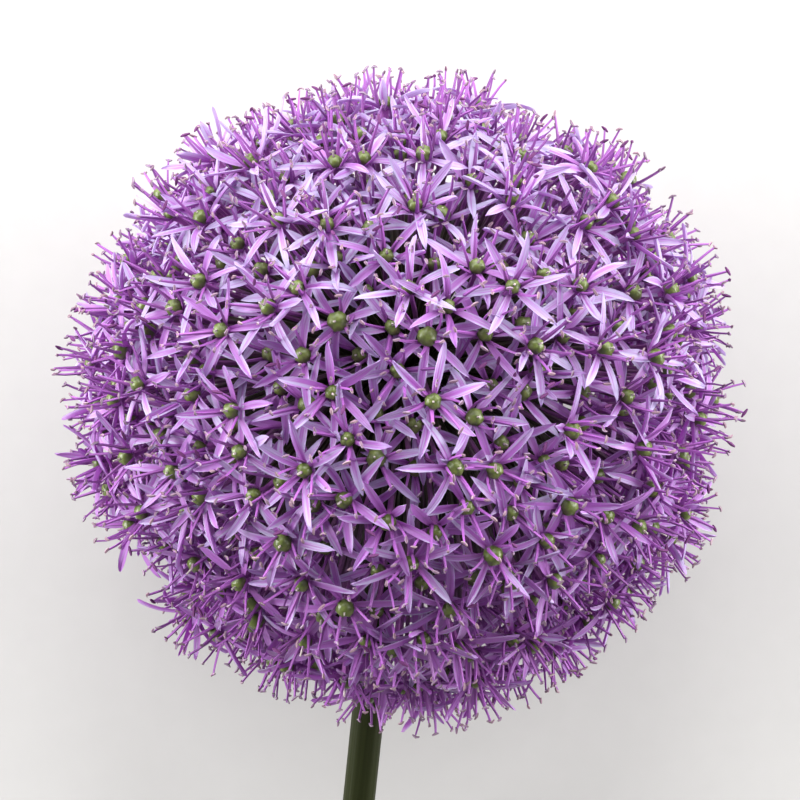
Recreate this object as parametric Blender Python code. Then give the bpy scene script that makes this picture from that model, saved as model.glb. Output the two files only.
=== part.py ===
"""Allium flower head, cut with a short stem and lying on its side on a table.

A round umbel: every floret stands on its own stalk (pedicel), and all the stalks grow from a small
dome at the top of the stem. The head rests on the flattened tips of its lowest florets and on the
cut end of the stem. The florets are larger and fewer than life, and still cover the ball.

Units are metres, +Z is up and the table is at z = 0. The stem points along -Y.
"""

import math
import random

import bmesh
import bpy
from mathutils import Matrix, Vector

MM = 0.001
GAP = 0.3 * MM                      # clearance between touching pieces
SHARP_ANGLE = math.radians(40)      # edges sharper than this stay crisp on a smooth piece

# The ball of florets
TIP_RADIUS = 76.5 * MM              # umbel centre to the stamen tips
CENTRE_HEIGHT = 65.0 * MM           # umbel centre above the table, with the lowest florets pressed in
HEAD_SQUASH = 0.95                  # length of the ball along its stem, as a share of its width
FLORETS = 98
LOWEST_POLAR_ANGLE = math.radians(159)   # florets stop this far from the crown, round the stem
GOLDEN_ANGLE = math.pi * (3 - math.sqrt(5))
LEAN_JITTER = math.radians(9)       # how far a floret faces away from straight outwards
LAYERS = 3
LAYER_DROP = 3.2 * MM               # depth between two layers of florets
SEED = 11

# One floret, in its own frame: its hub at the origin, facing +Z
HUB_RADIUS = 1.8 * MM
TEPALS = 6
TEPAL_LENGTH = 17.0 * MM
TEPAL_WIDE_AT = 8.0 * MM
TEPAL_HALF_WIDTH = 3.2 * MM
TEPAL_THICKNESS = 0.85 * MM         # under the ridge; the edges are sharp
TEPAL_RISE = (1.0 * MM, 2.0 * MM)   # height of the widest place over the hub
TEPAL_TIP_RISE = (-1.6 * MM, 1.2 * MM)
TEPAL_TWIST = 0.7 * MM              # at most, from the middle to one edge
TEPAL_LENGTHS = (0.92, 1.06)        # shares of the length
TEPAL_TURN = 0.1                    # at most, sideways, in radians
OVARY_RADIUS = 2.5 * MM
OVARY_WAIST_HEIGHT = 1.9 * MM
OVARY_HEIGHT = 4.0 * MM
OVARY_FLAT_RADIUS = 1.6 * MM        # the flat spot of an ovary that is pressed on the table
STAMEN_REACH = 7.0 * MM             # stamen tip, out from the floret's axis
STAMEN_HEIGHT = 11.0 * MM           # stamen tip, above the hub
STAMEN_REACHES = (0.8, 1.15)        # shares of the reach
STAMEN_HEIGHTS = (0.9, 1.05)        # shares of the height
STAMEN_TURN = 0.25                  # at most, sideways, in radians
PRESSED_STAMEN_REACH = 12.0 * MM
PRESSED_STAMEN_HEIGHT = 2.6 * MM
STAMEN_FOOT_AT = (0.38, 0.38, 0.24) # place of a stamen's foot between the corners of its facet
STAMEN_FOOT_SHARE = 0.36            # size of the foot, as a share of that facet
PEDICEL_SIDES = 3
PEDICEL_RADIUS = 0.8 * MM
PEDICEL_NECK = 1.4 * MM             # depth below the hub at which the tepals meet the pedicel

# The dome that the pedicels grow from
DOME_RADIUS = 9.0 * MM
DOME_BOTTOM = 3.0 * MM              # flat underside, below the umbel centre
ROOT_DEPTH = 2.6 * MM               # how far pedicel roots are sunk into the dome
ROOT_SPREAD = 0.62                  # polar angle of a root, as a share of its floret's

# The stem, a gentle arc from the dome to the cut end on the table
STEM_CHORD = 150.0 * MM             # umbel centre to the middle of the cut end
STEM_ARC = math.radians(3.0)        # turn of the stem at each end, away from its chord
STEM_LEAN = math.radians(6.0)       # sideways lean, towards -X
STEM_RADIUS = 3.6 * MM
STEM_TOP_RADIUS = 4.6 * MM          # the stem swells under the dome
STEM_SWELL_LENGTH = 9.0 * MM
STEM_SIDES = 16
STEM_STATIONS = 18


def material(name, colour, roughness):
    made = bpy.data.materials.new(name)
    made.use_nodes = True
    shader = made.node_tree.nodes["Principled BSDF"]
    shader.inputs["Base Color"].default_value = (*colour, 1.0)
    shader.inputs["Roughness"].default_value = roughness
    shader.inputs["Metallic"].default_value = 0.0
    return made


def mesh_object(name, points, faces, finish=None):
    mesh = bpy.data.meshes.new(name)
    mesh.from_pydata([tuple(p) for p in points], [], faces)
    mesh.update()
    if finish:
        mesh.materials.append(finish)
    return bpy.data.objects.new(name, mesh)


def stem_pitch():
    """Slope of the stem's chord that sets the rim of the cut end on the table."""
    pitch = math.radians(20)
    for _ in range(20):
        rim_drop = STEM_RADIUS * math.cos(pitch + STEM_ARC)
        pitch = math.asin((CENTRE_HEIGHT - rim_drop) / STEM_CHORD)
    return pitch


def downward(pitch):
    """Unit vector along the stem, away from the head, at this slope."""
    return Vector((-math.sin(STEM_LEAN) * math.cos(pitch),
                   -math.cos(STEM_LEAN) * math.cos(pitch),
                   -math.sin(pitch)))


CHORD_PITCH = stem_pitch()
CENTRE = Vector((0, 0, CENTRE_HEIGHT))
AXIS = -downward(CHORD_PITCH - STEM_ARC)         # from the stem towards the crown of the head
SIDE = Vector((0, 0, 1)).cross(AXIS).normalized()
FRONT = AXIS.cross(SIDE)                         # the side of the head that faces up


def stem_point(along):
    """(centre, direction) of the stem at this share of its length: an arc over its chord."""
    pitch = CHORD_PITCH + STEM_ARC * (2 * along - 1)
    bow = math.sin(math.pi * along) * STEM_CHORD * math.tan(STEM_ARC) / math.pi
    rise = FRONT * bow
    return CENTRE + downward(CHORD_PITCH) * STEM_CHORD * along + rise, downward(pitch)


def stem(finish):
    """A round tube with flat ends, swollen where it carries the dome."""
    top = (DOME_BOTTOM + GAP) / STEM_CHORD
    points = []
    for station in range(STEM_STATIONS):
        share = (station / (STEM_STATIONS - 1)) ** 1.5
        along = top + (1 - top) * share
        centre, direction = stem_point(along)
        swell = math.exp(-(((along - top) * STEM_CHORD) / STEM_SWELL_LENGTH) ** 2)
        radius = STEM_RADIUS + (STEM_TOP_RADIUS - STEM_RADIUS) * swell
        across = direction.cross(Vector((0, 0, 1))).normalized()
        over = across.cross(direction)
        for k in range(STEM_SIDES):
            turn = 2 * math.pi * k / STEM_SIDES
            points.append(centre + (across * math.cos(turn) + over * math.sin(turn)) * radius)
    faces = [tuple(reversed(range(STEM_SIDES)))]
    for station in range(STEM_STATIONS - 1):
        row = station * STEM_SIDES
        for k in range(STEM_SIDES):
            after = (k + 1) % STEM_SIDES
            faces.append((row + k, row + after, row + STEM_SIDES + after, row + STEM_SIDES + k))
    last = (STEM_STATIONS - 1) * STEM_SIDES
    faces.append(tuple(last + k for k in range(STEM_SIDES)))
    tube = mesh_object("stem", points, faces, finish)
    point_faces_outward(tube.data)
    tube.data.shade_smooth()
    tube.data.set_sharp_from_angle(angle=SHARP_ANGLE)
    return tube


def point_faces_outward(mesh):
    shape = bmesh.new()
    shape.from_mesh(mesh)
    bmesh.ops.recalc_face_normals(shape, faces=shape.faces)
    shape.to_mesh(mesh)
    shape.free()


def dome():
    """The receptacle: a ball cut flat where the stem carries it."""
    shape = bmesh.new()
    bmesh.ops.create_uvsphere(shape, u_segments=14, v_segments=9, radius=DOME_RADIUS)
    cut = bmesh.ops.bisect_plane(
        shape, geom=shape.verts[:] + shape.edges[:] + shape.faces[:],
        plane_co=(0, 0, -DOME_BOTTOM), plane_no=(0, 0, -1), clear_outer=True)
    rim = [e for e in cut["geom_cut"] if isinstance(e, bmesh.types.BMEdge)]
    bmesh.ops.edgeloop_fill(shape, edges=rim)
    bmesh.ops.recalc_face_normals(shape, faces=shape.faces)
    frame = Matrix((SIDE, FRONT, AXIS)).transposed().to_4x4()
    bmesh.ops.transform(shape, matrix=Matrix.Translation(CENTRE) @ frame, verts=shape.verts)
    mesh = bpy.data.meshes.new("dome")
    shape.to_mesh(mesh)
    shape.free()
    return bpy.data.objects.new("dome", mesh)


def direction_of(polar, turn):
    """Unit vector at this angle from the crown and this turn round the axis."""
    level = SIDE * math.cos(turn) + FRONT * math.sin(turn)
    return level * math.sin(polar) + AXIS * math.cos(polar)


def facing(direction, turn):
    """Rotation that takes +Z to this direction, after a turn about it."""
    return direction.to_track_quat("Z", "Y").to_matrix() @ Matrix.Rotation(turn, 3, "Z")


def ring(radius, height, start, count):
    """Points round the floret's axis."""
    turns = [start + 2 * math.pi * k / count for k in range(count)]
    return [Vector((math.cos(t) * radius, math.sin(t) * radius, height)) for t in turns]


def tepal_points(turn, chance):
    """Left edge, tip, right edge and ridge of one blade."""
    out = Vector((math.cos(turn), math.sin(turn), 0))
    across = Vector((-math.sin(turn), math.cos(turn), 0))
    up = Vector((0, 0, 1))
    middle = out * TEPAL_WIDE_AT + up * chance.uniform(*TEPAL_RISE)
    half = across * TEPAL_HALF_WIDTH + up * chance.uniform(-TEPAL_TWIST, TEPAL_TWIST)
    tip = out * TEPAL_LENGTH * chance.uniform(*TEPAL_LENGTHS) + up * chance.uniform(*TEPAL_TIP_RISE)
    return middle - half, tip, middle + half, middle + up * TEPAL_THICKNESS


def stamen_tip(turn, chance, pressed):
    reach = PRESSED_STAMEN_REACH if pressed else STAMEN_REACH
    height = PRESSED_STAMEN_HEIGHT if pressed else STAMEN_HEIGHT
    turn += chance.uniform(-STAMEN_TURN, STAMEN_TURN)
    reach *= chance.uniform(*STAMEN_REACHES)
    height *= chance.uniform(*STAMEN_HEIGHTS)
    return Vector((math.cos(turn) * reach, math.sin(turn) * reach, height))


def floret_mesh(chance, pressed):
    """Points and faces of one floret, open below, and the ring round that opening.

    The hub is a ring of six notches. Each tepal is a ridged blade that spreads from two notches and
    narrows into the stalk below, the ovary closes the hub from above, and a stamen stands on the root
    facet of every other tepal.
    """
    points = ring(HUB_RADIUS, 0, math.pi / TEPALS, TEPALS)
    stalk_top = range(TEPALS, TEPALS + PEDICEL_SIDES)
    points += ring(PEDICEL_RADIUS, -PEDICEL_NECK, math.pi / TEPALS, PEDICEL_SIDES)
    faces = []

    def add(point):
        points.append(point)
        return len(points) - 1

    for i in range(TEPALS):
        turn = 2 * math.pi * i / TEPALS
        near, far = (i - 1) % TEPALS, i
        stalk = stalk_top[i // 2]
        blade = tepal_points(turn + chance.uniform(-TEPAL_TURN, TEPAL_TURN), chance)
        left, tip, right, ridge = map(add, blade)
        faces += [(near, left, ridge), (left, tip, ridge), (tip, right, ridge), (right, far, ridge)]
        faces += [(left, near, stalk), (left, stalk, right), (right, stalk, far), (left, right, tip)]
        root = (far, near, ridge)
        if i % 2:
            faces.append(root)
            faces.append((far, stalk, stalk_top[(i + 1) // 2 % PEDICEL_SIDES]))
            continue
        middle = sum((points[c] * share for c, share in zip(root, STAMEN_FOOT_AT)), Vector())
        foot = [add(middle + (points[c] - middle) * STAMEN_FOOT_SHARE) for c in root]
        end = add(stamen_tip(turn, chance, pressed))
        for k in range(3):
            after = (k + 1) % 3
            faces += [(root[k], root[after], foot[k]), (foot[k], root[after], foot[after])]
            faces.append((foot[k], foot[after], end))
    waist = [add(p) for p in ring(OVARY_RADIUS, OVARY_WAIST_HEIGHT, math.pi / TEPALS, TEPALS)]
    for k in range(TEPALS):
        after = (k + 1) % TEPALS
        faces += [(k, after, waist[k]), (waist[k], after, waist[after])]
    if pressed:
        cap = [add(p) for p in ring(OVARY_FLAT_RADIUS, OVARY_HEIGHT, math.pi / TEPALS, TEPALS)]
        for k in range(TEPALS):
            after = (k + 1) % TEPALS
            faces += [(waist[k], waist[after], cap[k]), (cap[k], waist[after], cap[after])]
        faces.append(tuple(cap))
    else:
        top = add(Vector((0, 0, OVARY_HEIGHT)))
        faces += [(waist[k], waist[(k + 1) % TEPALS], top) for k in range(TEPALS)]
    return points, faces, list(stalk_top)


def floret(number, chance):
    """One floret with its pedicel, as a closed mesh whose root is sunk into the dome."""
    share = (number + 0.5) / FLORETS
    polar = math.acos(1 - share * (1 - math.cos(LOWEST_POLAR_ANGLE)))
    turn = number * GOLDEN_ANGLE
    outward = direction_of(polar, turn)
    offset = outward * (TIP_RADIUS - STAMEN_HEIGHT - LAYER_DROP * (number % LAYERS))
    offset -= AXIS * offset.dot(AXIS) * (1 - HEAD_SQUASH)
    hub = CENTRE + offset
    pressed = hub.z + outward.z * OVARY_HEIGHT < 0
    wobble = Vector([chance.gauss(0, LEAN_JITTER / 2) for _ in range(3)])
    axis = Vector((0, 0, -1)) if pressed else (outward + wobble).normalized()
    placing = facing(axis, chance.uniform(0, 2 * math.pi))
    points, faces, upper = floret_mesh(chance, pressed)
    if pressed:
        hub.z = OVARY_HEIGHT
    else:
        hub.z -= min(0.0, min((placing @ p + hub).z for p in points))
    placed = [placing @ p + hub for p in points]

    root = CENTRE + direction_of(polar * ROOT_SPREAD, turn) * (DOME_RADIUS - ROOT_DEPTH)
    neck = hub - placing @ Vector((0, 0, PEDICEL_NECK))
    lower = [len(placed) + k for k in range(PEDICEL_SIDES)]
    placed += [placed[k] + root - neck for k in upper]
    for k in range(PEDICEL_SIDES):
        after = (k + 1) % PEDICEL_SIDES
        faces += [(upper[k], lower[k], upper[after]), (upper[after], lower[k], lower[after])]
    faces.append(tuple(reversed(lower)))
    made = mesh_object(f"floret_{number}", placed, faces)
    point_faces_outward(made.data)
    return made


def flower_head(finish):
    """All the florets, fused to the dome that their pedicels grow from."""
    chance = random.Random(SEED)
    head = dome()
    head.name = head.data.name = "flower_head"
    bpy.context.scene.collection.objects.link(head)
    group = bpy.data.collections.new("florets")
    bpy.context.scene.collection.children.link(group)
    for number in range(FLORETS):
        group.objects.link(floret(number, chance))

    join = head.modifiers.new("join_florets", "BOOLEAN")
    join.operation = "UNION"
    join.operand_type = "COLLECTION"
    join.collection = group
    join.solver = "MANIFOLD"
    bpy.context.view_layer.objects.active = head
    bpy.ops.object.modifier_apply(modifier=join.name)
    for piece in list(group.objects):
        bpy.data.objects.remove(piece)
    bpy.data.collections.remove(group)
    head.data.materials.clear()
    head.data.materials.append(finish)
    return head


def stand_on_origin(pieces):
    """Hangs the pieces on an empty that puts the middle of their box over the origin."""
    corners = [p.matrix_world @ v.co for p in pieces for v in p.data.vertices]
    low = Vector([min(c[i] for c in corners) for i in range(3)])
    high = Vector([max(c[i] for c in corners) for i in range(3)])
    middle = (low + high) / 2
    holder = bpy.data.objects.new("allium", None)
    bpy.context.scene.collection.objects.link(holder)
    holder.location = (-middle.x, -middle.y, 0)
    for piece in pieces:
        piece.parent = holder


def main():
    for old in list(bpy.data.objects):
        bpy.data.objects.remove(old)
    green = material("stem_green", (0.13, 0.17, 0.05), 0.5)
    purple = material("floret_purple", (0.45, 0.19, 0.56), 0.55)
    stalk = stem(green)
    bpy.context.scene.collection.objects.link(stalk)
    head = flower_head(purple)
    bpy.context.view_layer.update()
    stand_on_origin([stalk, head])


main()
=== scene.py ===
"""Allium flower head: a round umbel of star-shaped florets on a short cut stem, laid on a table."""

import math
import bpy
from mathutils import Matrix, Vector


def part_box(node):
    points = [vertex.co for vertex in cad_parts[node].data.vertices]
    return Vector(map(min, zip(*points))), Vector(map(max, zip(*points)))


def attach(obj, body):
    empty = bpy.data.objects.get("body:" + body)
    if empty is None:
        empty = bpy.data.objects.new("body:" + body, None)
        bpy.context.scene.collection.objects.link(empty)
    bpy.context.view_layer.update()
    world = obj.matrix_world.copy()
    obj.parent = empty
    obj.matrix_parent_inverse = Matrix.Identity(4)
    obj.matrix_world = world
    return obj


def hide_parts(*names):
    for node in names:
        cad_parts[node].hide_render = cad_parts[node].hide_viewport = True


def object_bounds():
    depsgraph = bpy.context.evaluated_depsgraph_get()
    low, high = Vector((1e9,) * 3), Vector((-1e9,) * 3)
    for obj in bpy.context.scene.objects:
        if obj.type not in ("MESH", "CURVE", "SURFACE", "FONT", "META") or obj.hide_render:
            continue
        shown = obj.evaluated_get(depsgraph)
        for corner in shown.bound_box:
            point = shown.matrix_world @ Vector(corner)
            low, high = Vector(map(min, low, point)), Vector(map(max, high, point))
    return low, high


bl_info = {
    "name": "Allium Flower Head",
    "version": (1, 0, 0),
    "blender": (4, 5, 0),
    "location": "View3D > Sidebar > Allium",
    "description": "Grows the florets, stalks and stem of an allium head over its frame",
    "category": "Add Mesh",
}

import bmesh
import bpy
import numpy as np
from bpy.props import FloatProperty, FloatVectorProperty, IntProperty, PointerProperty
from mathutils import Vector

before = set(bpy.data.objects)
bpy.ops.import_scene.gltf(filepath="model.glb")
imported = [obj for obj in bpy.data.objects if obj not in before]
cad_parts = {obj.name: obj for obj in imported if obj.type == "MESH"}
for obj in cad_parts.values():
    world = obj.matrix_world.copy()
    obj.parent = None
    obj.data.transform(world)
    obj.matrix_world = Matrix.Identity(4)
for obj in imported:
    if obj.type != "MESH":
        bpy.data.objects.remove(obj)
CAD_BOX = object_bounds()
HEAD_LOW, HEAD_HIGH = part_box("flower_head")
STEM_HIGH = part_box("stem")[1]

MM = 0.001
GOLDEN_ANGLE = math.pi * (3 - math.sqrt(5))
PARTS = 6  # tepals in a floret, and stamens
HEXAGON_STRETCH = 2 / math.sqrt(3)  # a hexagon on its flat side, back to full width
DOWN = np.array([0, 0, -1])

# The dome and the stem keep the frame's own sizes
DOME_RADIUS = 9.0 * MM
DOME_BOTTOM = 3.0 * MM
DOME_GAP = 0.3 * MM  # between the dome's flat bottom and the stem's top
ROOT_SPREAD = 0.62  # a root's angle from the crown, as a share of its floret's
ROOT_DEPTH = 1.2 * MM
STEM_CHORD = 150.0 * MM
STEM_ARC = math.radians(3.0)
STEM_LEAN = math.radians(6.0)
STEM_RADIUS = 3.6 * MM
STEM_TOP_RADIUS = 4.6 * MM
STEM_TOP_SHIFT = 0.3 * MM  # how far the lean carries the stem's top off the umbel's centre
STEM_SWELL_LENGTH = 9.0 * MM
CENTRE_HEIGHT = 65.0 * MM
CENTRE = Vector((
    STEM_HIGH.x - STEM_TOP_RADIUS + STEM_TOP_SHIFT, (HEAD_LOW.y + HEAD_HIGH.y) / 2, CENTRE_HEIGHT))

# How the florets scatter about their places
PLACE_SCATTER = 0.020  # radians over the ball
CROWN_SINE = 0.2  # closer to the crown, a floret's turn scatters no more than here
DEPTH_SCATTER = 1.0 * MM
LEAN_SCATTER = 0.11  # sideways, against an axis of length 1

# Where a floret's parts stand, from its hub
TEPAL_ROOT = 0.9 * MM
STAMEN_ROOT = 1.35 * MM
STAMEN_ROOT_HEIGHT = 0.3 * MM
PEDICEL_TOP_HEIGHT = 0.5 * MM
STYLE_HEIGHT = 1.3  # ovary radii
OVARY_SINK = 0.14  # how much of the ovary's own radius is below the hub
OVARY_FLATTENING = 0.92

# Angles of a floret's parts in degrees: in an open floret, added in a cupped one, and scatter
TEPAL_LIFT = (8, 34, 7)
TEPAL_CURL = (-22, 8, 24)
STAMEN_LIFT = (58, 14, 7)
STAMEN_CURL = (6, 0, 14)

# Old florets bend their tepals back, and a few anthers are still shut
OLD_AGE = 0.88
BENT_BACK = math.radians(50)
OPEN_ANTHERS = 0.92
OPEN_TONES = 0.75  # tones of open anthers run from 0 to this
SHUT_TONES = 0.85  # and those of shut ones from this to 1
BETWEEN_TONES = (0.78, 0.84)

# Half of a part's thickness
TEPAL_HALF = 0.24 * MM
FILAMENT_HALF = 0.55 * MM
STYLE_HALF = 0.28 * MM

# What would sink into the table is bent up over this height, and its floret turns face down
HUB_SOFTNESS = 1.2 * MM
TEPAL_SOFTNESS = 0.7 * MM
STAMEN_SOFTNESS = 0.6 * MM
OVARY_SOFTNESS = 0.4 * MM
FLORET_STAND = 3.4 * MM  # how far the middle of a floret stands out from its hub
FACE_DOWN_LIFT = 3.0 * MM

SAME_STATION = 1e-4  # points of a unit rod this close lie on one ring
STRAIGHT = 1e-4  # a smaller curl, in radians, counts as this
SHARP_RIM = math.radians(40)  # faces that meet at more than this keep their edge

# Directions that no stalk and no floret takes, to turn their sections from
STALK_GUIDE = np.array([0.31, 0.17, 0.93])
FLORET_GUIDE = np.array([0.37, 0.21, 0.91])

# The stage: a light is a name, its place from the umbel's centre, its width and its power's setting
LIGHTS = (
    ("key_left", (-0.8, 1.4, 0.5), 2.4, "key_power"),
    ("key_right", (0.8, 1.4, 0.5), 2.4, "key_power"),
    ("left", (-1.3, 0.1, 0.32), 0.8, "left_power"),
    ("right", (1.3, 0.1, 0.32), 0.8, "right_power"),
)
TABLE_WIDTH = 6.0
TABLE_GAP = 0.2 * MM
CAMERA_SHIFT = (-0.2 * MM, 0.1 * MM)
SENSOR_WIDTH = 36.0
VIEW_DEPTH = 20.0


# ---------------------------------------------------------------- settings

class UmbelSettings(bpy.types.PropertyGroup):
    florets: IntProperty(
        name="Florets", description="How many florets the head carries", default=690, min=1)
    hub_radius: FloatProperty(
        name="Hub Radius", description="Umbel centre to the hubs of the outer florets",
        default=65.0 * MM, unit="LENGTH")
    inner_drop: FloatProperty(
        name="Inner Drop", description="How much deeper than the outer florets the innermost stand",
        default=12.0 * MM, unit="LENGTH")
    squash: FloatProperty(
        name="Squash", description="Length of the ball along its stem over its width", default=0.98)
    shoulder: FloatProperty(
        name="Shoulder", description="How much fuller the ball is above its middle than below it",
        default=0.02)
    opening: FloatProperty(
        name="Opening", description="Angle from the crown at which the florets stop",
        default=math.radians(165), subtype="ANGLE")
    seed: IntProperty(name="Seed", description="Another number grows another head", default=5)


class FloretSettings(bpy.types.PropertyGroup):
    tepal_length: FloatProperty(
        name="Tepal Length", description="Length of one tepal", default=11.2 * MM, unit="LENGTH")
    tepal_width: FloatProperty(
        name="Tepal Width", description="Greatest width of one tepal",
        default=1.80 * MM, unit="LENGTH")
    stamen_length: FloatProperty(
        name="Stamen Length", description="Length of one filament", default=8.2 * MM, unit="LENGTH")
    anther_length: FloatProperty(
        name="Anther Length", description="Length of one open anther",
        default=1.65 * MM, unit="LENGTH")
    ovary_radius: FloatProperty(
        name="Ovary Radius", description="Radius of the green ovary",
        default=1.75 * MM, unit="LENGTH")
    pedicel_radius: FloatProperty(
        name="Pedicel Radius", description="Radius of a floret's stalk",
        default=0.5 * MM, unit="LENGTH")


def colour_property(name, description, value):
    return FloatVectorProperty(
        name=name, description=description, default=value, size=3, min=0, max=1, subtype="COLOR")


class ColourSettings(bpy.types.PropertyGroup):
    tepal: colour_property("Tepal", "Body of a tepal", (0.49, 0.17, 0.62))
    # Pale margins, tips and streaks: partly the tepal's own colour, partly a painted sheen and
    # painted highlights.
    tepal_pale_and_sheen: colour_property("Tepal Edge", "Margins, tips and streaks", (0.56, 0.53, 0.76))
    tepal_through: colour_property(
        "Tepal Through", "Light that shines through a tepal", (0.58, 0.13, 0.62))
    tepal_midrib: colour_property(
        "Tepal Midrib", "Stripe down the middle, and the throat", (0.38, 0.09, 0.42))
    filament: colour_property("Filament", "Stalks of the anthers", (0.31, 0.09, 0.37))
    anther: colour_property("Anther", "Open anthers", (0.40, 0.30, 0.42))
    anther_shut: colour_property("Shut Anther", "Anthers that are still shut", (0.12, 0.03, 0.12))
    anther_dust: colour_property(
        "Anther Dust", "Open anthers that carry pollen", (0.40, 0.29, 0.33))
    anther_seam: colour_property("Anther Seam", "Dark slit of an open anther", (0.20, 0.10, 0.15))
    style_tip: colour_property("Style Tip", "Pale ends of the styles", (0.56, 0.50, 0.46))
    ovary: colour_property("Ovary", "Green centres", (0.070, 0.098, 0.018))
    ovary_top: colour_property(
        "Ovary Top", "Lit, yellower tops of the ovaries", (0.108, 0.134, 0.028))
    # Painted shade in the creases between the ovary's knobs.
    ovary_furrow_shade: colour_property(
        "Ovary Furrow", "Creases between the ovary's knobs", (0.025, 0.04, 0.01))
    # Pedicel: its own green-brown, made darker to paint the shade in the gaps between the florets.
    pedicel: colour_property("Pedicel", "Floret stalks", (0.045, 0.040, 0.024))
    # Stem: its own dark green, made darker to paint the shade that the head casts on it.
    stem: colour_property("Stem", "The thick stem", (0.017, 0.021, 0.005))
    pith: colour_property("Pith", "Flesh at the stem's cut end", (0.45, 0.52, 0.26))
    floor: colour_property("Floor", "The table", (0.52, 0.512, 0.50))


class StageSettings(bpy.types.PropertyGroup):
    camera_distance: FloatProperty(
        name="Camera Distance", description="From the umbel's centre", default=0.65, unit="LENGTH")
    frame_width: FloatProperty(
        name="Frame Width", description="Width that the camera takes in at the umbel's centre",
        default=0.1721, unit="LENGTH")
    key_power: FloatProperty(
        name="Key Power", description="Power of each of the two upper lights, in watts",
        default=73.0)
    left_power: FloatProperty(
        name="Left Power", description="Power of the left light, in watts", default=28.0)
    right_power: FloatProperty(
        name="Right Power", description="Power of the right light, in watts", default=23.0)
    ambient: FloatProperty(
        name="Ambient", description="Strength of the light from all round", default=0.33)


# ---------------------------------------------------------------- materials

class Value:
    """A node socket that does arithmetic: an expression on values adds its Math nodes."""

    def __init__(self, shader, socket):
        self.shader = shader
        self.socket = socket

    def math(self, operation, *others):
        return self.shader.node(
            "ShaderNodeMath", {"operation": operation}, dict(enumerate((self, *others))))

    def __add__(self, other):
        return self.math("ADD", other)

    __radd__ = __add__

    def __sub__(self, other):
        return self.math("SUBTRACT", other)

    def __rsub__(self, other):
        return (self * -1) + other

    def __mul__(self, other):
        return self.math("MULTIPLY", other)

    __rmul__ = __mul__

    def __abs__(self):
        return self.math("ABSOLUTE")

    def between(self, low, high):
        """0 at low, 1 at high, smooth in between."""
        return self.shader.node(
            "ShaderNodeMapRange", {"interpolation_type": "SMOOTHSTEP"},
            {"Value": self, "From Min": low, "From Max": high})


class Shader:
    """A material under construction."""

    def __init__(self, name):
        self.material = bpy.data.materials.new(name)
        self.material.use_nodes = True
        self.tree = self.material.node_tree
        self.tree.nodes.clear()

    def node(self, kind, settings=None, inputs=None, output=0):
        made = self.tree.nodes.new(kind)
        for key, value in (settings or {}).items():
            setattr(made, key, value)
        for key, value in (inputs or {}).items():
            if isinstance(value, Value):
                self.tree.links.new(value.socket, made.inputs[key])
            elif made.inputs[key].type == "RGBA":
                made.inputs[key].default_value = (*value, 1.0)
            else:
                made.inputs[key].default_value = value
        return Value(self, made.outputs[output]) if made.outputs else None

    def marks(self, *names):
        """The values that the mesh carries under these names."""
        return [self.node("ShaderNodeAttribute", {"attribute_name": name}, output="Fac")
                for name in names]

    def point(self, *numbers):
        """A place in a pattern that follows the surface."""
        return self.node("ShaderNodeCombineXYZ", {}, dict(enumerate(numbers)))

    def object_place(self):
        return self.node("ShaderNodeTexCoord", output="Object")

    def colours(self, factor, first, second):
        """The first colour where the factor is 0, the second where it is 1."""
        mix = {"data_type": "RGBA"}
        return self.node("ShaderNodeMix", mix, {0: factor, 6: first, 7: second}, output=2)

    def tinted(self, colour, brightness):
        """The colour, scaled by a brightness."""
        return self.node(
            "ShaderNodeVectorMath", {"operation": "SCALE"}, {0: colour, "Scale": brightness})

    def noise(self, where, scale=1.0, detail=2.0):
        return self.node(
            "ShaderNodeTexNoise", {}, {"Vector": where, "Scale": scale, "Detail": detail})

    def bump(self, height, strength, distance):
        return self.node(
            "ShaderNodeBump", {}, {"Height": height, "Strength": strength, "Distance": distance})

    def finish(self, colour, roughness, normal=None, specular=0.5, sheen=0.0, glow=0.0,
               through=None):
        """Ends the material: a surface that lets the share glow of the light through, coloured."""
        inputs = {"Base Color": colour, "Roughness": roughness, "Specular IOR Level": specular,
                  "Sheen Weight": sheen}
        if normal:
            inputs["Normal"] = normal
        surface = self.node("ShaderNodeBsdfPrincipled", {}, inputs)
        if glow:
            behind = self.node("ShaderNodeBsdfTranslucent", {}, {"Color": through})
            surface = self.node("ShaderNodeMixShader", {}, {0: glow, 1: surface, 2: behind})
        self.node("ShaderNodeOutputMaterial", {}, {"Surface": surface})
        return self.material


def tepal_material(colours):
    """Lilac, with pale margins, tips and streaks that are partly own colour and partly painted
    sheen, a faint dark midrib and a purple throat.
    """
    s = Shader("tepal")
    across, along, tone = s.marks("across", "along", "tone")
    grain = s.noise(s.point(across * 7 + tone * 90, along * 1.6, tone * 40))
    veins = s.noise(s.point(across * 3.5 + tone * 50, along * 1.1, tone * 70))
    side = abs(across)
    # pale: the tepal's own paler margins, tips and streaks, partly a painted sheen; through tone it
    # also paints light towards the crown.
    pale = (side.between(0.4, 1.0) * 0.4 + along.between(0.2, 0.9) * 0.5
            + (veins - 0.5) * 3.2 + (tone - 0.45) * 0.9)
    rib = (1 - side.between(0.02, 0.26)) * (1 - along.between(0.55, 1.0))
    throat = 1 - along.between(0.0, 0.4)
    colour = s.colours(pale.between(0.0, 1.0), colours.tepal, colours.tepal_pale_and_sheen)
    colour = s.colours(rib * 0.5, colour, colours.tepal_midrib)
    colour = s.colours(throat * 0.6, colour, colours.tepal_midrib)
    # tone also brightens the tepals nearer the crown here: painted light.
    colour = s.tinted(colour, 0.92 + grain * 0.1 + tone * 0.08)
    normal = s.bump(veins, strength=0.4, distance=0.15 * MM)
    return s.finish(colour, 0.34 + grain * 0.2, normal, specular=0.8, sheen=0.3,
                    glow=0.40, through=colours.tepal_through)


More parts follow.
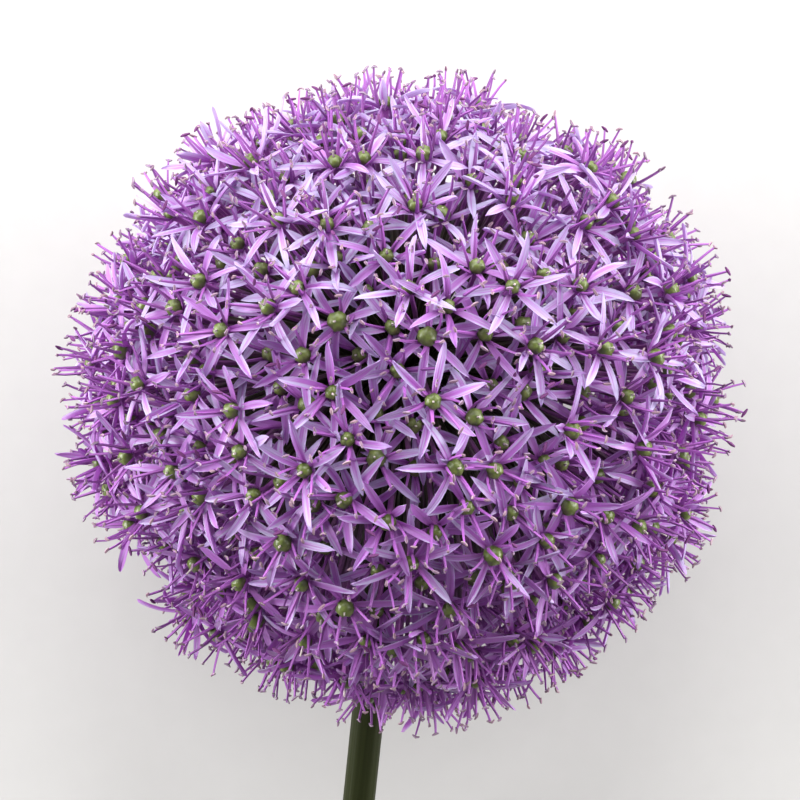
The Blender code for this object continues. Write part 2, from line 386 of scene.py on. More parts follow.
def filament_material(colours):
    """Dark purple, lighter towards the anther."""
    s = Shader("filament")
    along, tone = s.marks("along", "tone")
    colour = s.colours(along.between(0.15, 0.9) * 0.35, colours.filament, colours.tepal)
    colour = s.tinted(colour, 0.65 + tone * 0.5)
    return s.finish(colour, 0.45, specular=0.35, glow=0.10, through=colours.filament)


def style_material(colours):
    """Purple at its foot, pale at its tip."""
    s = Shader("style")
    along, tone = s.marks("along", "tone")
    colour = s.colours(along.between(0.0, 0.6), colours.filament, colours.style_tip)
    colour = s.tinted(colour, 0.7 + tone * 0.5)
    return s.finish(colour, 0.5, specular=0.4)


def anther_material(colours):
    """Pinkish grey with a dark seam where the anther has opened, dark purple where it is shut."""
    s = Shader("anther")
    across, tone = s.marks("across", "tone")
    grain = s.noise(s.object_place(), scale=1500.0)
    shut = tone.between(*BETWEEN_TONES)
    seam = across.between(0.35, 0.85) * (1 - shut)
    colour = s.colours(tone.between(0.3, 0.6), colours.anther, colours.anther_dust)
    colour = s.colours(shut, colour, colours.anther_shut)
    colour = s.colours(seam * 0.8, colour, colours.anther_seam)
    colour = s.tinted(colour, 0.5 + grain * 0.5 + tone * 0.35)
    normal = s.bump(grain, strength=0.5, distance=0.1 * MM)
    return s.finish(colour, 0.75, normal, specular=0.25)


def ovary_material(colours):
    """Green knobs, yellower and lighter on top and darker lower down as painted light and shade,
    with painted shade in the furrows between them, and purple at the foot.
    """
    s = Shader("ovary")
    furrow, along, tone = s.marks("across", "along", "tone")
    grain = s.noise(s.object_place(), scale=1900.0, detail=1.0)
    # Painted light: the top is mixed towards the lit, yellower colour and brightened, and the lower
    # part is left darker.
    colour = s.colours(along.between(0.6, 1.0) * 0.6, colours.ovary, colours.ovary_top)
    colour = s.tinted(colour, 0.45 + grain * 0.8 + tone * 0.4 + along * 0.5)
    # Painted shade: the furrows between the knobs are darkened.
    colour = s.colours(furrow * (0.2 + tone * 0.45), colour, colours.ovary_furrow_shade)
    colour = s.colours(1 - along.between(0.05, 0.45), colour, colours.tepal_midrib)
    normal = s.bump(grain, strength=0.6, distance=0.12 * MM)
    return s.finish(colour, 0.33, normal, specular=0.55)


def pedicel_material(colours):
    """Dull green-brown, made darker as painted shade for the gaps deep in the ball, flushed purple
    towards the floret.
    """
    s = Shader("pedicel")
    along, tone = s.marks("along", "tone")
    colour = s.colours(along.between(0.55, 1.0) * 0.7, colours.pedicel, colours.tepal_midrib)
    colour = s.tinted(colour, 0.75 + tone * 0.5)
    return s.finish(colour, 0.5, specular=0.4)


def stem_material(colours):
    """Dark green, made darker still as painted shade of the head, with fine streaks along it, and
    pale flesh at the cut.
    """
    s = Shader("stem")
    around, along, cut = s.marks("across", "along", "cut")
    streaks = s.noise(s.point(around * 30, along * 5), detail=4.0)
    blotches = s.noise(s.object_place(), scale=60.0, detail=3.0)
    colour = s.tinted(colours.stem, 0.55 + streaks * 0.6 + blotches * 0.4)
    rings = s.noise(s.object_place(), scale=900.0, detail=3.0)
    flesh = s.tinted(colours.pith, 0.6 + rings * 0.6)
    colour = s.colours(cut, colour, flesh)
    normal = s.bump(streaks, strength=0.35, distance=0.3 * MM)
    return s.finish(colour, 0.5 + blotches * 0.15, normal, specular=0.12)


def floor_material(colours):
    """Pale and even, with a faint speckle."""
    s = Shader("table")
    speckle = s.noise(s.object_place(), scale=160.0, detail=4.0)
    colour = s.tinted(colours.floor, 0.97 + speckle * 0.05)
    return s.finish(colour, 0.7, specular=0.25)


# ---------------------------------------------------------------- modelling helpers

def start_clean():
    if bpy.context.object and bpy.context.object.mode != "OBJECT":
        bpy.ops.object.mode_set(mode="OBJECT")
    bpy.ops.object.select_all(action="DESELECT")


def select_vertices(keep):
    """Selects the vertices of the mesh in edit mode that pass the test."""
    mesh = bmesh.from_edit_mesh(bpy.context.object.data)
    for vertex in mesh.verts:
        vertex.select_set(bool(keep(vertex.co)))
    mesh.select_flush_mode()
    bmesh.update_edit_mesh(bpy.context.object.data)


def rod(sides, stations, size_at, turn=0.0):
    """A unit rod along +X, cut at the stations, each ring sized by size_at(x) = (width, height)."""
    start_clean()
    bpy.ops.mesh.primitive_cylinder_add(
        vertices=sides, radius=1, depth=1, location=(0.5, 0, 0), rotation=(0, math.pi / 2, 0))
    bpy.ops.object.transform_apply(location=True, rotation=True, scale=True)
    made = bpy.context.object
    bpy.ops.object.mode_set(mode="EDIT")
    if turn:
        bpy.ops.mesh.select_all(action="SELECT")
        bpy.ops.transform.rotate(value=turn, orient_axis="X", center_override=(0, 0, 0))
    for x in stations[1:-1]:
        bpy.ops.mesh.select_all(action="SELECT")
        bpy.ops.mesh.bisect(plane_co=(x, 0, 0), plane_no=(1, 0, 0))
    for x in stations:
        width, height = size_at(x)
        select_vertices(lambda co: abs(co.x - x) < SAME_STATION)
        if width == 0:
            bpy.ops.mesh.merge(type="CENTER")
        else:
            bpy.ops.transform.resize(value=(1, width, height), center_override=(x, 0, 0))
    bpy.ops.mesh.select_all(action="SELECT")
    bpy.ops.mesh.normals_make_consistent(inside=False)
    bpy.ops.object.mode_set(mode="OBJECT")
    return made


def steady(corners):
    """A face's corners; a cap's are counted from its lowest, because where it starts can vary."""
    start = corners.index(min(corners)) if len(corners) > 4 else 0
    return corners[start:] + corners[:start]


class Pattern:
    """The points and faces of a shape that was modelled once, ready to be copied.

    The faces are sorted, because a new sphere lists them in another order each run.
    """

    def __init__(self, model):
        mesh = model.data
        self.points = np.empty(len(mesh.vertices) * 3)
        mesh.vertices.foreach_get("co", self.points)
        self.points = self.points.reshape(-1, 3)
        faces = sorted(steady(tuple(face.vertices)) for face in mesh.polygons)
        self.corners = np.array([corner for face in faces for corner in face])
        self.sizes = np.array([len(face) for face in faces])
        bpy.data.objects.remove(model)

    @property
    def x(self):
        return self.points[:, 0]


def copies(name, pattern, places, marks, material, sharp=math.radians(60)):
    """One piece out of many copies of a pattern.

    places is (copies, points, 3), and marks are the values that each point carries, by name.
    """
    count, per_copy = places.shape[:2]
    mesh = bpy.data.meshes.new(name)
    mesh.vertices.add(count * per_copy)
    mesh.vertices.foreach_set("co", places.reshape(-1).astype(np.float32))
    corners = (pattern.corners[None, :] + np.arange(count)[:, None] * per_copy).reshape(-1)
    mesh.loops.add(len(corners))
    mesh.loops.foreach_set("vertex_index", corners.astype(np.int32))
    sizes = np.tile(pattern.sizes, count)
    starts = np.concatenate(([0], np.cumsum(sizes)[:-1]))
    mesh.polygons.add(len(sizes))
    mesh.polygons.foreach_set("loop_start", starts.astype(np.int32))
    mesh.update(calc_edges=True)
    mesh.validate()
    mesh.shade_smooth()
    mesh.set_sharp_from_angle(angle=sharp)
    for mark, values in marks.items():
        spread = np.broadcast_to(values, (count, per_copy)).reshape(-1).astype(np.float32)
        mesh.attributes.new(mark, "FLOAT", "POINT").data.foreach_set("value", spread)
    mesh.materials.append(material)
    made = bpy.data.objects.new(name, mesh)
    bpy.context.scene.collection.objects.link(made)
    return made


def stands_for(piece, node):
    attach(piece, "root")
    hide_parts(node)


def unit(vectors):
    return vectors / np.linalg.norm(vectors, axis=-1, keepdims=True)


def column(values):
    """Per-copy numbers, ready to meet per-point numbers."""
    return np.asarray(values)[:, None]


def scattered(chance, degrees, count):
    """Angles round zero, in radians."""
    return chance.normal(0, math.radians(degrees), count)


def angles(chance, cup, open_floret, cupped, scatter):
    """Angles in radians from degrees: that of an open floret, more with its cup, and scattered."""
    middle = math.radians(open_floret) + cup * math.radians(cupped)
    return middle + scattered(chance, scatter, len(cup))


def swept(pattern, origin, forward, up, length, width, height, lift, curl,
          sway=0.0, twist=(0.0, 0.0)):
    """Bends copies of a rod, each from its origin, lifted from forward towards up, and curled.

    lift and curl are the start angle and the turn from root to tip, sway is a turn to the side, and
    twist turns the section about the rod at its root and at its tip.
    """
    x, y, z = pattern.points.T
    count = len(origin)
    lift, curl, sway, length, width, height, root_twist, tip_twist = (
        column(np.broadcast_to(v, count))
        for v in (lift, curl, sway, length, width, height, *twist))
    curl = np.where(np.abs(curl) < STRAIGHT, STRAIGHT, curl)
    angle = lift + curl * x
    out = length * (np.sin(angle) - np.sin(lift)) / curl
    rise = length * (np.cos(lift) - np.cos(angle)) / curl
    aside = length * sway * x ** 2 / 2
    roll = root_twist * (1 - x) + tip_twist * x
    flat = y * width * np.cos(roll) - z * height * np.sin(roll)
    proud = y * width * np.sin(roll) + z * height * np.cos(roll)
    out = out - proud * np.sin(angle)
    rise = rise + proud * np.cos(angle)
    side = np.cross(up, forward)
    return (origin[:, None, :] + out[..., None] * forward[:, None, :]
            + rise[..., None] * up[:, None, :] + (aside + flat)[..., None] * side[:, None, :])


def along_curves(pattern, start, end, leave, arrive, radius):
    """Bends copies of a rod along smooth curves from start to end, with these end directions."""
    x, y, z = pattern.points.T
    t = x[None, :, None]
    reach = np.linalg.norm(end - start, axis=-1)[:, None, None]
    p0, p3 = start[:, None, :], end[:, None, :]
    p1 = p0 + leave[:, None, :] * reach / 3
    p2 = p3 - arrive[:, None, :] * reach / 3
    place = (1 - t) ** 3 * p0 + 3 * (1 - t) ** 2 * t * p1 + 3 * (1 - t) * t ** 2 * p2 + t ** 3 * p3
    tangent = unit((1 - t) ** 2 * (p1 - p0) + 2 * (1 - t) * t * (p2 - p1) + t ** 2 * (p3 - p2))
    guide = np.cross(leave, STALK_GUIDE)[:, None, :]
    side = unit(guide - (guide * tangent).sum(-1, keepdims=True) * tangent)
    other = np.cross(tangent, side)
    section = side * y[None, :, None] + other * z[None, :, None]
    return place + section * np.reshape(radius, (-1, 1, 1))


# ---------------------------------------------------------------- the plant's layout

def downward(pitch):
    """Unit vector along the stem, away from the head, at this slope."""
    return Vector((-math.sin(STEM_LEAN) * math.cos(pitch),
                   -math.cos(STEM_LEAN) * math.cos(pitch),
                   -math.sin(pitch)))


def stem_pitch():
    """Slope of the stem's chord that sets the rim of the cut end on the table."""
    pitch = math.radians(20)
    for _ in range(20):
        rim_drop = STEM_RADIUS * math.cos(pitch + STEM_ARC)
        pitch = math.asin((CENTRE.z - rim_drop) / STEM_CHORD)
    return pitch


CHORD_PITCH = stem_pitch()
AXIS = -downward(CHORD_PITCH - STEM_ARC)
SIDE = Vector((0, 0, 1)).cross(AXIS).normalized()
FRONT = AXIS.cross(SIDE)


def frame_axes():
    """The stem's side, front and axis, as arrays."""
    return [np.array(v) for v in (SIDE, FRONT, AXIS)]


def direction_of(polar, turn):
    """Unit vectors at these angles from the crown and these turns round the axis."""
    side, front, axis = frame_axes()
    level = np.cos(turn)[:, None] * side + np.sin(turn)[:, None] * front
    return np.sin(polar)[:, None] * level + np.cos(polar)[:, None] * axis


def pressed(height, softness):
    """Heights above the table, bent smoothly upwards where they would sink into it."""
    return softness * np.logaddexp(0.0, height / softness)


class Layout:
    """Where each floret stands and faces; the same for every piece, because it is seeded."""

    def __init__(self, umbel):
        chance = np.random.default_rng(umbel.seed)
        count = umbel.florets
        order = np.arange(count)
        share = (order + 0.5) / count
        self.polar = np.arccos(1 - share * (1 - math.cos(umbel.opening)))
        self.turn = order * GOLDEN_ANGLE
        self.polar = self.polar + chance.normal(0, PLACE_SCATTER, count)
        wide = np.maximum(np.sin(self.polar), CROWN_SINE)
        self.turn = self.turn + chance.normal(0, PLACE_SCATTER, count) / wide
        outward = direction_of(self.polar, self.turn)
        radius = umbel.hub_radius * (1 + umbel.shoulder * np.sin(2 * self.polar))
        radius = radius + chance.normal(0, DEPTH_SCATTER, count)
        radius = radius - umbel.inner_drop * chance.random(count) ** 1.5  # most stand well out
        offset = outward * radius[:, None]
        axis = np.array(AXIS)
        offset = offset - (offset @ axis)[:, None] * axis * (1 - umbel.squash)
        self.hub = np.array(CENTRE) + offset
        self.axis = unit(outward + chance.normal(0, LEAN_SCATTER, (count, 3)))
        self.keep_off_the_table()
        spin = chance.uniform(0, 2 * math.pi, count)
        first = unit(np.cross(self.axis, FLORET_GUIDE))
        second = np.cross(self.axis, first)
        self.first = np.cos(spin)[:, None] * first + np.sin(spin)[:, None] * second
        self.second = np.cross(self.axis, self.first)
        self.tone = chance.random(count)
        self.cup = chance.random(count) ** 2  # most florets are wide open
        self.age = chance.random(count)

    def keep_off_the_table(self):
        """Lifts the florets under the head and turns them face down."""
        lowest = self.hub[:, 2] + self.axis[:, 2] * FLORET_STAND
        lift = pressed(lowest, HUB_SOFTNESS) - lowest
        self.hub[:, 2] += lift
        turned = np.clip(lift / FACE_DOWN_LIFT, 0, 1)[:, None]
        self.axis = unit(self.axis * (1 - turned) + DOWN * turned)

    def spread(self, values):
        """Repeats per-floret values for each tepal or stamen."""
        return np.repeat(values, PARTS, axis=0)

    def rays(self, jitter):
        """Directions of the six parts round each floret's axis."""
        angle = np.tile(np.arange(PARTS) * 2 * math.pi / PARTS, len(self.hub)) + jitter
        first, second = self.spread(self.first), self.spread(self.second)
        return np.cos(angle)[:, None] * first + np.sin(angle)[:, None] * second


# ---------------------------------------------------------------- operators

def tepal_pattern():
    """A strap-shaped blade with a blunt point, folded up along its midline and keeled below."""
    stations = (0.0, 0.09, 0.2, 0.36, 0.55, 0.73, 0.86, 0.95, 1.0)
    widest, root_width = 0.5, 0.46

    def size_at(x):
        if x < widest:
            width = root_width + (1 - root_width) * math.sin(math.pi / 2 * x / widest)
        else:
            width = 1 - ((x - widest) / (1 - widest)) ** 3
        return (0.0, 0.0) if x == 1.0 else (width * HEXAGON_STRETCH, 1.0)

    model = rod(6, stations, size_at, turn=math.radians(30))
    bpy.ops.object.mode_set(mode="EDIT")
    midline = 0.01
    for keep, rise in ((lambda co: abs(co.y) < midline and co.z > 0.9, -0.85),
                       (lambda co: abs(co.y) < midline and co.z < -0.9, 0.30),
                       (lambda co: abs(co.y) > midline and co.z > 0.2, 0.55),
                       (lambda co: abs(co.y) > midline and co.z < -0.2, 1.35)):
        select_vertices(lambda co: co.x < 0.99 and keep(co))
        bpy.ops.transform.translate(value=(0, 0, rise))
    bpy.ops.object.mode_set(mode="OBJECT")
    pattern = Pattern(model)
    across = np.sign(np.round(pattern.points[:, 1], 4))
    return pattern, across


class ALLIUM_OT_tepals(bpy.types.Operator):
    """Grow the six tepals of every floret"""
    bl_idname = "allium.tepals"
    bl_label = "Tepals"

    def execute(self, context):
        scene = context.scene
        layout = Layout(scene.umbel)
        floret = scene.floret
        chance = np.random.default_rng(scene.umbel.seed + 1)
        pattern, across = tepal_pattern()
        total = len(layout.hub) * PARTS
        cup = layout.spread(layout.cup)
        old = layout.spread(layout.age > OLD_AGE) * chance.uniform(0.3, 0.9, total)
        lift = angles(chance, cup, *TEPAL_LIFT)
        curl = angles(chance, cup, *TEPAL_CURL) - old * BENT_BACK
        places = swept(
            pattern,
            layout.spread(layout.hub) + layout.rays(0) * TEPAL_ROOT,
            layout.rays(scattered(chance, 3.5, total)),
            layout.spread(layout.axis),
            length=floret.tepal_length * chance.normal(1, 0.05, total),
            width=floret.tepal_width / 2 * chance.normal(1, 0.07, total),
            height=TEPAL_HALF * chance.uniform(0.8, 2.2, total),
            lift=lift, curl=curl, sway=scattered(chance, 9, total),
            twist=(scattered(chance, 8, total), scattered(chance, 26, total)))
        places[..., 2] = pressed(places[..., 2], TEPAL_SOFTNESS)
        self.add_pieces(layout, pattern, across, places, self.tones(layout, chance), scene.colours)
        return {"FINISHED"}

    def tones(self, layout, chance):
        """How pale each tepal is: its own random tone, plus painted light that makes tepals paler
        towards the crown.
        """
        # Painted light: tepals nearer the crown, the side the light falls from, are made paler.
        painted_crown_light = 0.45 * (np.cos(layout.polar) - 0.36)
        own = chance.random(len(layout.hub) * PARTS) * 0.3
        return layout.spread(layout.tone * 0.6 + painted_crown_light) + own + 0.05

    def add_pieces(self, layout, pattern, across, places, tone, colours):
        """Three pieces, from the crown down, so that none has too many faces."""
        material = tepal_material(colours)
        groups = 3
        rank = np.repeat(np.arange(len(layout.hub)) * groups // len(layout.hub), PARTS)
        for group in range(groups):
            mine = rank == group
            marks = {"across": across[None], "along": pattern.x[None], "tone": column(tone[mine])}
            piece = copies(f"tepals_{group + 1}", pattern, places[mine], marks, material)
            stands_for(piece, "flower_head")


class ALLIUM_OT_stamens(bpy.types.Operator):
    """Grow the six stamens of every floret: filaments and anthers"""
    bl_idname = "allium.stamens"
    bl_label = "Stamens"

    def execute(self, context):
        scene = context.scene
        layout = Layout(scene.umbel)
        floret = scene.floret
        chance = np.random.default_rng(scene.umbel.seed + 2)
        total = len(layout.hub) * PARTS
        thread = Pattern(rod(
            4, (0.0, 0.12, 0.4, 0.75, 1.0), lambda x: (1.0 - 0.55 * x ** 0.6, 0.62 - 0.2 * x)))
        rays = layout.rays(scattered(chance, 7, total))
        axis = layout.spread(layout.axis)
        cup = layout.spread(layout.cup)
        hub = layout.spread(layout.hub)
        origin = hub + layout.rays(0) * STAMEN_ROOT + axis * STAMEN_ROOT_HEIGHT
        length = floret.stamen_length * chance.normal(1, 0.06, total)
        bends = (angles(chance, cup, *STAMEN_LIFT), angles(chance, cup, *STAMEN_CURL),
                 scattered(chance, 9, total))
        places = swept(thread, origin, rays, axis, length, FILAMENT_HALF, FILAMENT_HALF, *bends)
        places[..., 2] = pressed(places[..., 2], STAMEN_SOFTNESS)
        middles = swept(thread, origin, rays, axis, length, 0.0, 0.0, *bends)
        tips = middles[:, np.argmax(thread.x)]
        tone = chance.random(total)
        marks = {"along": thread.x[None], "tone": column(tone)}
        filaments = copies("filaments", thread, places, marks, filament_material(scene.colours))
        stands_for(filaments, "flower_head")
        self.add_anthers(tips, rays, axis, tone, floret.anther_length, chance, scene.colours)
        return {"FINISHED"}

    def add_anthers(self, tips, rays, axis, tone, length, chance, colours):
        """A sac across each filament's tip: bent if it has opened, longer and thicker if shut."""
        total = len(tips)
        sac = Pattern(rod(
            5, (0.0, 0.14, 0.5, 0.86, 1.0), lambda x: (0.45 + 0.55 * math.sin(math.pi * x),) * 2))
        shut = chance.random(total) > OPEN_ANTHERS
        mark = np.where(shut, SHUT_TONES + (1 - SHUT_TONES) * tone, OPEN_TONES * tone)
        lie = unit(np.cross(axis, rays) + 0.8 * chance.normal(0, 1, (total, 3)))
        out = unit(axis + 0.3 * rays)
        out = unit(out - (out * lie).sum(-1, keepdims=True) * lie)
        size = length * np.where(shut, 1.35, chance.uniform(0.8, 1.15, total))
        bend = np.radians(chance.uniform(30, 150, total) * chance.choice((-1, 1), total) * ~shut)
        start = tips - lie * column(size) / 2
        half_width = np.where(shut, 0.42, 0.36) * MM
        half_height = np.where(shut, 0.38, 0.31) * MM
        places = swept(sac, start, lie, out, size, half_width, half_height, -bend / 2, bend)
        places[..., 2] = pressed(places[..., 2], STAMEN_SOFTNESS)
        turn = np.arctan2(sac.points[:, 2], sac.points[:, 1])
        marks = {"tone": column(mark), "across": np.abs(np.sin(turn))[None]}
        anthers = copies("anthers", sac, places, marks, anther_material(colours))
        stands_for(anthers, "flower_head")


def ovary_pattern():
    """A squat ball with six knobs round a dimple, and how deep in a furrow each point lies."""
    start_clean()
    bpy.ops.mesh.primitive_uv_sphere_add(segments=12, ring_count=7, radius=1)
    model = bpy.context.object
    bpy.ops.object.mode_set(mode="EDIT")
    pole = 0.1  # points nearer the axis than this are the poles
    waist = -0.5  # no furrow runs below this height

    def faces(co, turn):
        return math.cos(math.atan2(co.y, co.x) - turn) > 0.97

    for knob in range(6):
        turn = math.radians(60 * knob)
        furrow = turn + math.radians(30)
        select_vertices(lambda co: math.hypot(co.x, co.y) > pole and co.z > waist
                        and faces(co, furrow))
        depth = 0.84 if knob % 2 else 0.94  # every other furrow parts two lobes
        bpy.ops.transform.resize(value=(depth, depth, 0.95), center_override=(0, 0, -0.2))
        select_vertices(lambda co: pole < math.hypot(co.x, co.y) < 0.95 and co.z > 0.1
                        and faces(co, turn))
        bpy.ops.transform.translate(value=(0, 0, 0.04))
    select_vertices(lambda co: co.z > 0.9 and math.hypot(co.x, co.y) < pole)
    bpy.ops.transform.translate(value=(0, 0, -0.15))
    bpy.ops.object.mode_set(mode="OBJECT")
    pattern = Pattern(model)
    x, y, z = pattern.points.T
    between_lobes = (1 + np.cos(3 * (np.arctan2(y, x) - math.pi / 2))) / 2
    return pattern, np.where(np.hypot(x, y) < pole, z > 0, between_lobes * (z > waist))


class ALLIUM_OT_ovaries(bpy.types.Operator):
    """Grow the green three-lobed ovary and the style of every floret"""
    bl_idname = "allium.ovaries"
    bl_label = "Ovaries"

    def execute(self, context):
        scene = context.scene
        layout = Layout(scene.umbel)
        radius = scene.floret.ovary_radius
        chance = np.random.default_rng(scene.umbel.seed + 3)
        count = len(layout.hub)
        ball, furrow = ovary_pattern()
        size = radius * (0.92 + 0.26 * layout.age ** 2) * chance.normal(1, 0.04, count)
        x, y, z = ball.points.T[:, None, :, None]
        height = (z + (1 - OVARY_SINK)) * OVARY_FLATTENING
        local = (x * layout.first[:, None] + y * layout.second[:, None]
                 + height * layout.axis[:, None])
        places = layout.hub[:, None] + local * size[:, None, None]
        places[..., 2] = pressed(places[..., 2], OVARY_SOFTNESS)
        marks = {"along": (ball.points[:, 2] + 1)[None] / 2, "across": furrow[None],
                 "tone": column(layout.tone)}
        ovaries = copies("ovaries", ball, places, marks, ovary_material(scene.colours))
        stands_for(ovaries, "flower_head")

        stub = Pattern(rod(4, (0.0, 0.4, 0.85, 1.0), lambda x: (1.0 - 0.3 * x,) * 2))
        start = layout.hub + layout.axis * radius * STYLE_HEIGHT
        length = chance.uniform(0.9, 2.6, count) * MM
        places = swept(stub, start, layout.first, layout.axis, length, STYLE_HALF, STYLE_HALF,
                       math.radians(84), scattered(chance, 8, count))
        places[..., 2] = pressed(places[..., 2], OVARY_SOFTNESS)
        marks = {"along": stub.x[None], "tone": column(layout.tone)}
        styles = copies("styles", stub, places, marks, style_material(scene.colours))
        stands_for(styles, "flower_head")
        return {"FINISHED"}


class ALLIUM_OT_pedicels(bpy.types.Operator):
    """Grow the dome and the stalk of every floret"""
    bl_idname = "allium.pedicels"
    bl_label = "Pedicels"

    def execute(self, context):
        scene = context.scene
        layout = Layout(scene.umbel)
        chance = np.random.default_rng(scene.umbel.seed + 4)
        count = len(layout.hub)

        def size_at(x):
            flare = 1.3 * max(0.0, (x - 0.93) / 0.07) ** 2
            return (1.0 + flare, 1.0 + flare)

        stalk = Pattern(rod(5, (0.0, 0.2, 0.4, 0.6, 0.8, 0.93, 0.975, 1.0), size_at))
        rooting = direction_of(np.clip(layout.polar, 0, math.pi) * ROOT_SPREAD, layout.turn)
        start = np.array(CENTRE) + rooting * (DOME_RADIUS - ROOT_DEPTH)
        end = layout.hub + layout.axis * PEDICEL_TOP_HEIGHT
        leave = unit(rooting + chance.normal(0, 0.05, (count, 3)))
        radius = scene.floret.pedicel_radius * chance.uniform(0.85, 1.15, count)
        places = along_curves(stalk, start, end, leave, layout.axis, radius)
        marks = {"along": stalk.x[None], "tone": column(layout.tone)}
        pedicels = copies("pedicels", stalk, places, marks, pedicel_material(scene.colours))
        stands_for(pedicels, "flower_head")
        self.add_dome(scene.colours)
        return {"FINISHED"}

    def add_dome(self, colours):
        """The ball that the pedicels grow from, cut flat over the stem."""
        start_clean()
        bpy.ops.mesh.primitive_uv_sphere_add(segments=40, ring_count=24, radius=DOME_RADIUS)
        model = bpy.context.object
        bpy.ops.object.mode_set(mode="EDIT")
        bpy.ops.mesh.select_all(action="SELECT")
        bpy.ops.mesh.bisect(plane_co=(0, 0, -DOME_BOTTOM), plane_no=(0, 0, -1),
                            clear_outer=True, use_fill=True)
        bpy.ops.object.mode_set(mode="OBJECT")
        pattern = Pattern(model)
        side, front, axis = frame_axes()
        x, y, z = pattern.points.T[:, :, None]
        places = (np.array(CENTRE) + x * side + y * front + z * axis)[None]
        marks = {"along": np.zeros((1, 1)), "tone": np.full((1, 1), 0.5)}
        material = pedicel_material(colours)
        dome = copies("receptacle", pattern, places, marks, material, SHARP_RIM)
        stands_for(dome, "flower_head")


class ALLIUM_OT_stem(bpy.types.Operator):
    """Grow the stem, with its ridges and its cut end"""
    bl_idname = "allium.stem"
    bl_label = "Stem"

    def execute(self, context):
        top = (DOME_BOTTOM + DOME_GAP) / STEM_CHORD
        sides, steps = 48, 60
        rim = 0.9985  # where the small bevel of the cut end starts
        bevel = 0.12 * MM
        stations = [round(k / steps * rim, 5) for k in range(steps + 1)] + [1.0]

        def size_at(x):
            along = x * (1 - top) * STEM_CHORD
            swell = math.exp(-(along / STEM_SWELL_LENGTH) ** 2)
            radius = STEM_RADIUS + (STEM_TOP_RADIUS - STEM_RADIUS) * swell
            if x == 1.0:
                radius -= bevel
            return (radius, radius)

        tube = Pattern(rod(sides, stations, size_at))
        x, y, z = tube.points.T
        around = np.arctan2(z, y)
        ridges, ridge_height = 12, 0.012
        wander = 0.6 * np.sin(x * 9)
        ridge = 1 + ridge_height * np.cos(around * ridges + wander) * (x < 0.998)
        along = top + (1 - top) * x
        pitch = CHORD_PITCH + STEM_ARC * (2 * along - 1)
        bow = np.sin(math.pi * along) * STEM_CHORD * math.tan(STEM_ARC) / math.pi
        chord = np.array(downward(CHORD_PITCH)) * STEM_CHORD
        middle = np.array(CENTRE) + chord * along[:, None] + np.array(FRONT) * bow[:, None]
        heading = np.array([downward(p) for p in pitch])
        across = unit(np.cross(heading, np.array([0.0, 0.0, 1.0])))
        over = np.cross(across, heading)
        places = middle + (across * (y * ridge)[:, None] + over * (z * ridge)[:, None])
        cut = (x > 0.9999).astype(float)
        marks = {"across": (around / math.pi)[None], "along": x[None], "cut": cut[None]}
        material = stem_material(context.scene.colours)
        stem = copies("stem_skin", tube, places[None], marks, material, SHARP_RIM)
        stands_for(stem, "stem")
        return {"FINISHED"}


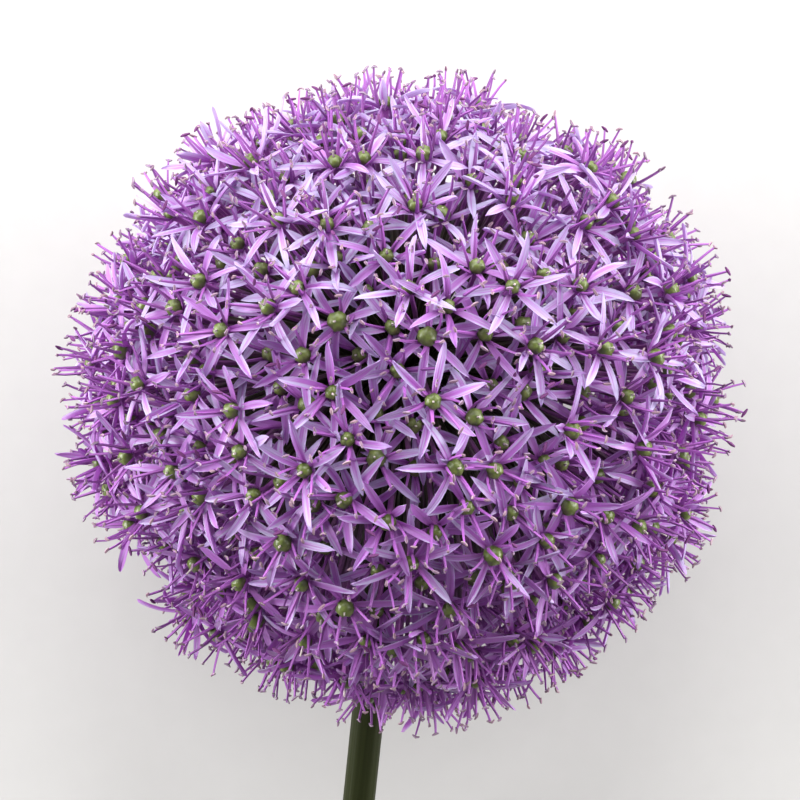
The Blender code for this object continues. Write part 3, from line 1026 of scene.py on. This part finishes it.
class ALLIUM_OT_stage(bpy.types.Operator):
    """Lay the table, and set the lights and the camera"""
    bl_idname = "allium.stage"
    bl_label = "Stage"

    def execute(self, context):
        scene = context.scene
        stage = scene.stage
        start_clean()
        bpy.ops.mesh.primitive_plane_add(
            size=TABLE_WIDTH, location=(0, 0, CAD_BOX[0].z - TABLE_GAP))
        table = context.object
        table.name = "table"
        table.data.materials.append(floor_material(scene.colours))

        for name, place, width, power in LIGHTS:
            self.add_light(name, CENTRE + Vector(place), width, getattr(stage, power))
        world = bpy.data.worlds.new("studio")
        world.use_nodes = True
        background = world.node_tree.nodes["Background"]
        background.inputs["Color"].default_value = (1, 1, 1, 1)
        background.inputs["Strength"].default_value = stage.ambient
        scene.world = world
        self.add_camera(scene, stage)
        scene.view_settings.view_transform = "Standard"
        return {"FINISHED"}

    def add_light(self, name, place, width, power):
        lamp = bpy.data.lights.new(name, "AREA")
        lamp.size = width
        lamp.energy = power
        made = bpy.data.objects.new(name, lamp)
        bpy.context.scene.collection.objects.link(made)
        made.location = place
        made.rotation_euler = (CENTRE - place).to_track_quat("-Z", "Y").to_euler()

    def add_camera(self, scene, stage):
        """Straight above the umbel's centre, looking down."""
        camera = bpy.data.objects.new("camera", bpy.data.cameras.new("camera"))
        scene.collection.objects.link(camera)
        camera.location = CENTRE + Vector((*CAMERA_SHIFT, stage.camera_distance))
        camera.data.sensor_width = SENSOR_WIDTH
        camera.data.lens = camera.data.sensor_width * stage.camera_distance / stage.frame_width
        camera.data.clip_end = VIEW_DEPTH
        scene.camera = camera


class ALLIUM_PT_panel(bpy.types.Panel):
    """Every piece of the flower head, and its settings"""
    bl_idname = "ALLIUM_PT_panel"
    bl_label = "Allium"
    bl_space_type = "VIEW_3D"
    bl_region_type = "UI"
    bl_category = "Allium"

    def draw(self, context):
        scene = context.scene
        for operator in OPERATORS:
            self.layout.operator(operator.bl_idname)
        for group in (scene.umbel, scene.floret, scene.colours, scene.stage):
            box = self.layout.box()
            for name in group.bl_rna.properties.keys():
                if name not in ("rna_type", "name"):
                    box.prop(group, name)


GROUPS = {"umbel": UmbelSettings, "floret": FloretSettings, "colours": ColourSettings,
          "stage": StageSettings}
OPERATORS = (ALLIUM_OT_stem, ALLIUM_OT_pedicels, ALLIUM_OT_tepals, ALLIUM_OT_stamens,
             ALLIUM_OT_ovaries, ALLIUM_OT_stage)


def register():
    for group in GROUPS.values():
        bpy.utils.register_class(group)
    for made in (*OPERATORS, ALLIUM_PT_panel):
        bpy.utils.register_class(made)
    for name, group in GROUPS.items():
        setattr(bpy.types.Scene, name, PointerProperty(type=group))


def unregister():
    for name in GROUPS:
        delattr(bpy.types.Scene, name)
    for made in (ALLIUM_PT_panel, *reversed(OPERATORS)):
        bpy.utils.unregister_class(made)
    for group in GROUPS.values():
        bpy.utils.unregister_class(group)


def main():
    register()
    bpy.ops.allium.stem()
    bpy.ops.allium.pedicels()
    bpy.ops.allium.tepals()
    bpy.ops.allium.stamens()
    bpy.ops.allium.ovaries()
    bpy.ops.allium.stage()


if __name__ == "__main__":
    main()
